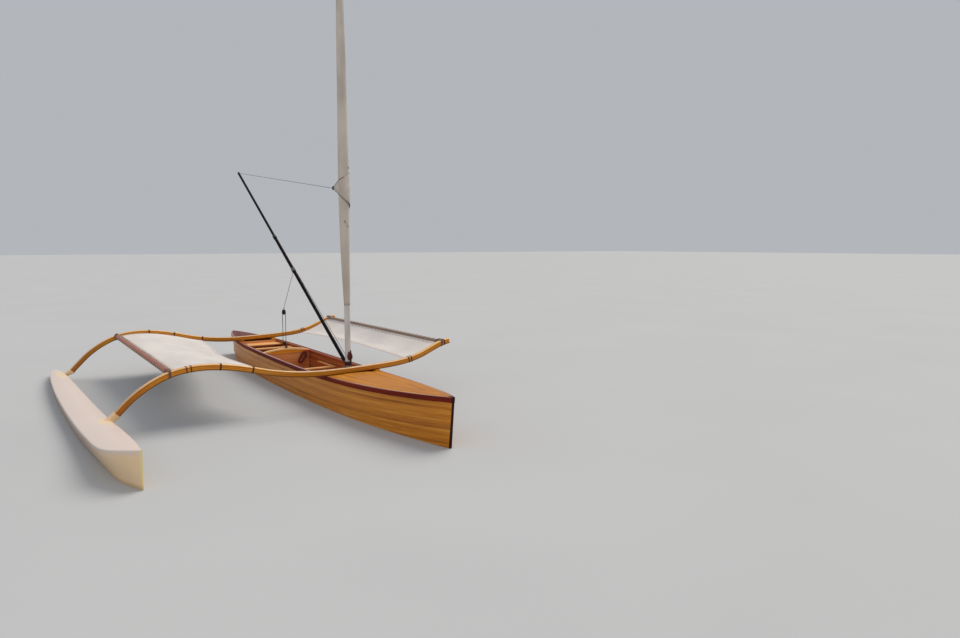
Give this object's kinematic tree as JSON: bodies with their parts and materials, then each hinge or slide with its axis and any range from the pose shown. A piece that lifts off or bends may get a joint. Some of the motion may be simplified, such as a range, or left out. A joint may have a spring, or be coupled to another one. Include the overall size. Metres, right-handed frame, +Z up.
{
  "type": "sailing outrigger canoe",
  "caption": "Wooden outrigger canoe with a stripped cedar hull, curved crossbeams, one float, side nets and a turning mast with a rolled sail and lifting boom.",
  "frame": {"origin": "on the hull's centreline at the waterline, under the middle of the front crossbeam", "axes": "+X forward to the bow, +Y to port, away from the float, +Z up along the mast"},
  "size_m": [7.3792, 4.2491, 6.4165],
  "materials": {
    "cedar_side": "varnished cedar strips",
    "cedar_deck": "varnished golden cedar strips",
    "dark_wood": "varnished dark red hardwood",
    "pale_wood": "satin pale softwood",
    "beam_wood": "varnished laminated wood",
    "spar_wood": "oiled round spar",
    "float_coat": "off-white gloss coating over foam and glass cloth",
    "socket_coat": "cream resin and glass cloth",
    "net": "white coated mesh",
    "sail_cloth": "rolled off-white sail cloth",
    "mast_tube": "pale grey painted tube",
    "carbon": "black carbon fibre and resin",
    "fitting": "black moulded plastic",
    "lashing_cord": "dark red braided cord",
    "cleat": "red-orange moulded plastic"
  },
  "bodies": {
    "canoe": {"hull_shell": "cedar_side", "bow_stem": "dark_wood", "stern_post": "dark_wood", "rub_rail_port": "dark_wood", "inwale_aft_port": "dark_wood", "inwale_fore_port": "dark_wood", "rub_rail_starboard": "dark_wood", "inwale_aft_starboard": "dark_wood", "inwale_fore_starboard": "dark_wood", "foredeck": "cedar_deck", "stern_deck": "dark_wood", "fore_bulkhead": "cedar_deck", "cockpit_bulkhead": "cedar_deck", "aft_bulkhead": "cedar_deck", "arched_beam": "pale_wood", "fore_thwart": "pale_wood", "aft_thwart": "pale_wood", "aft_seat": "pale_wood", "floor_bearer_1": "cedar_side", "floor_bearer_2": "cedar_side", "floor_slat_1": "pale_wood", "floor_slat_2": "pale_wood", "floor_slat_3": "pale_wood", "seat_riser_port": "pale_wood", "seat_riser_starboard": "pale_wood", "mast_partner": "dark_wood", "mast_step": "dark_wood", "front_crossbeam": "beam_wood", "rear_crossbeam": "beam_wood", "front_chock_port": "beam_wood", "front_chock_starboard": "beam_wood", "rear_chock_port": "beam_wood", "rear_chock_starboard": "beam_wood", "float": "float_coat", "front_socket": "socket_coat", "rear_socket": "socket_coat", "float_side_spar": "spar_wood", "float_side_spar_lashing_rear": "lashing_cord", "float_side_spar_lashing_front": "lashing_cord", "port_spar": "spar_wood", "port_spar_lashing_rear": "lashing_cord", "port_spar_lashing_front": "lashing_cord", "float_side_net": "net", "port_net": "net", "sheet_anchor": "fitting", "line_cleat": "cleat", "line_hank": "lashing_cord"},
    "mast": {"mast_tube": "mast_tube", "furled_sail": "sail_cloth", "mast_cleat": "fitting", "gooseneck_collar": "fitting", "gooseneck_lug": "fitting"},
    "boom": {"boom_jaw_port": "fitting", "boom_jaw_starboard": "fitting", "boom_lower": "carbon", "boom_upper": "carbon", "boom_joint_band": "fitting", "sheet_strop": "fitting", "boom_end_fitting": "fitting"}
  },
  "joints": [
    {"name": "mast_turn", "type": "hinge", "parent": "canoe", "child": "mast", "pos_m": [-0.15, 0, 0.4], "axis": [-0.0087, 0, 1], "range_deg": [-90, 90]},
    {"name": "boom_lift", "type": "hinge", "parent": "mast", "child": "boom", "pos_m": [-0.22278, 0, 0.48937], "axis": [0, 1, 0], "range_deg": [-17, 44]}
  ]
}
